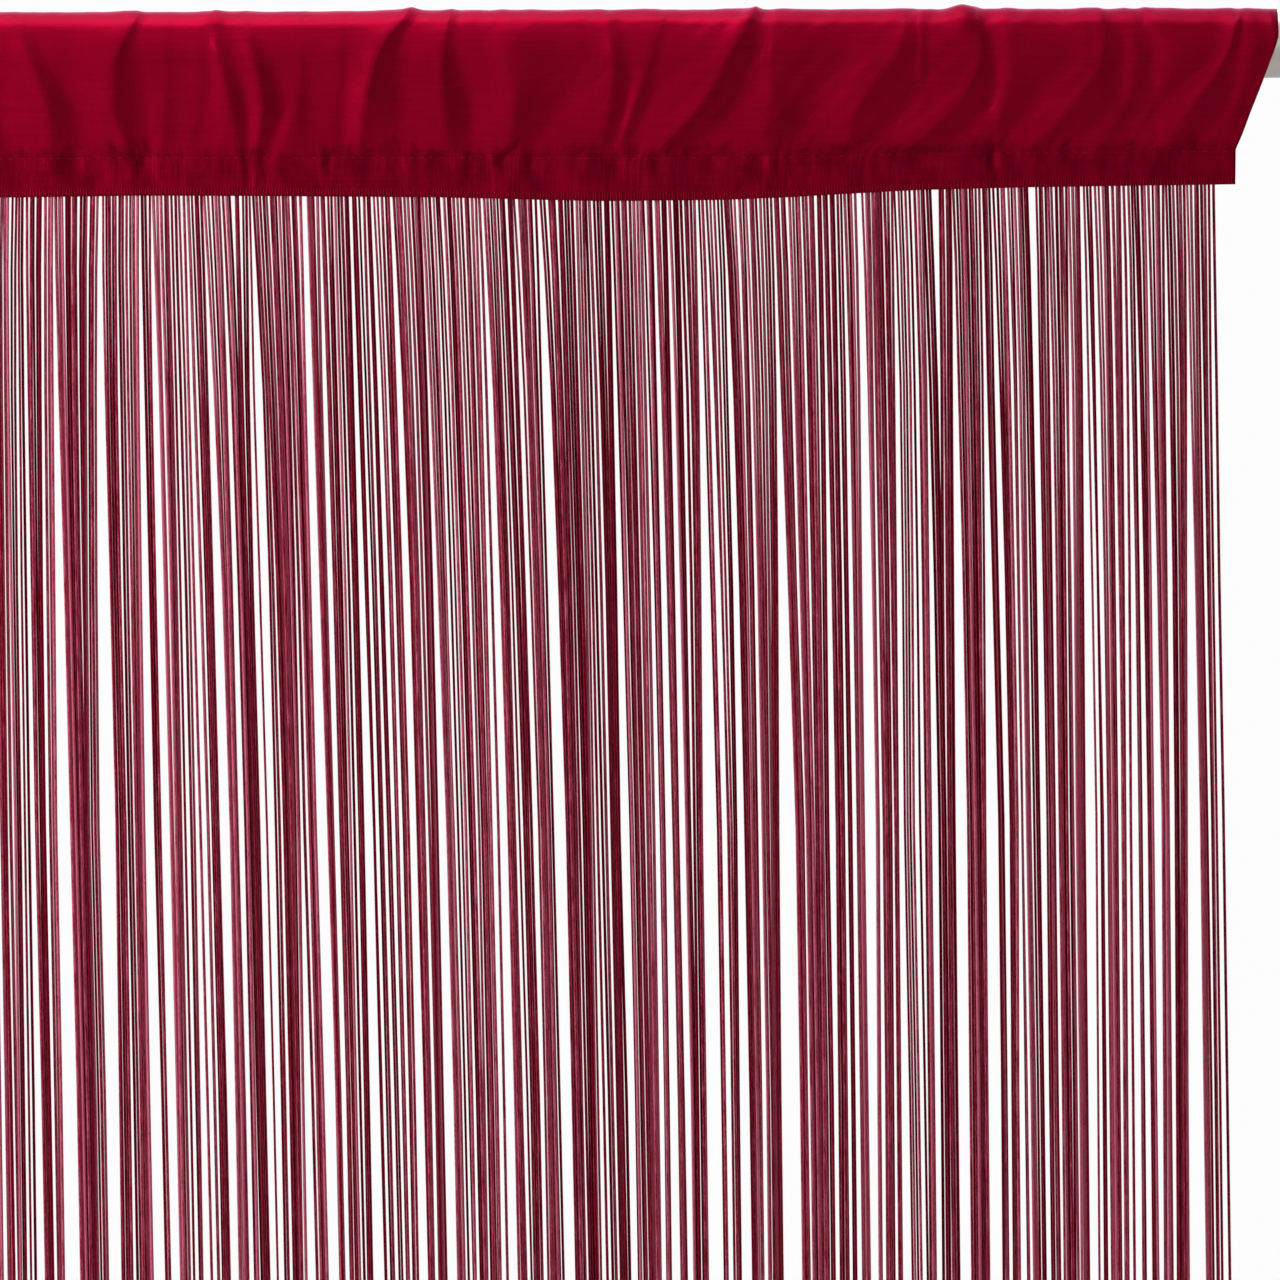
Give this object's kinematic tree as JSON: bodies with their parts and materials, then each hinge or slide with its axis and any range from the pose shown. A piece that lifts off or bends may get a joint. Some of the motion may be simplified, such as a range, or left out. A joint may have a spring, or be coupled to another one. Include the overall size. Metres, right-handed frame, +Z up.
{
  "type": "string curtain on a curtain rod",
  "caption": "String curtain: a gathered cloth heading with a rod pocket on a plain round rod, and a long fringe of fine hanging strands.",
  "frame": {"origin": "on the rod's axis, half-way along the rod, where the wall brackets' line runs", "axes": "+Z up, +X along the rod to the right as seen from the front, the front of the curtain faces -Y"},
  "size_m": [1.1, 0.0386, 2.0077],
  "materials": {
    "rod_metal": "satin grey metal, plain",
    "heading_cloth": "crimson satin-faced taffeta with a soft sheen, gathered on the rod and puckered along its stitching",
    "fringe_yarn": "dark wine-red twisted yarn, slightly uneven"
  },
  "bodies": {
    "root": {"rod": "rod_metal", "heading": "heading_cloth", "string_fringe": "fringe_yarn"}
  },
  "joints": []
}
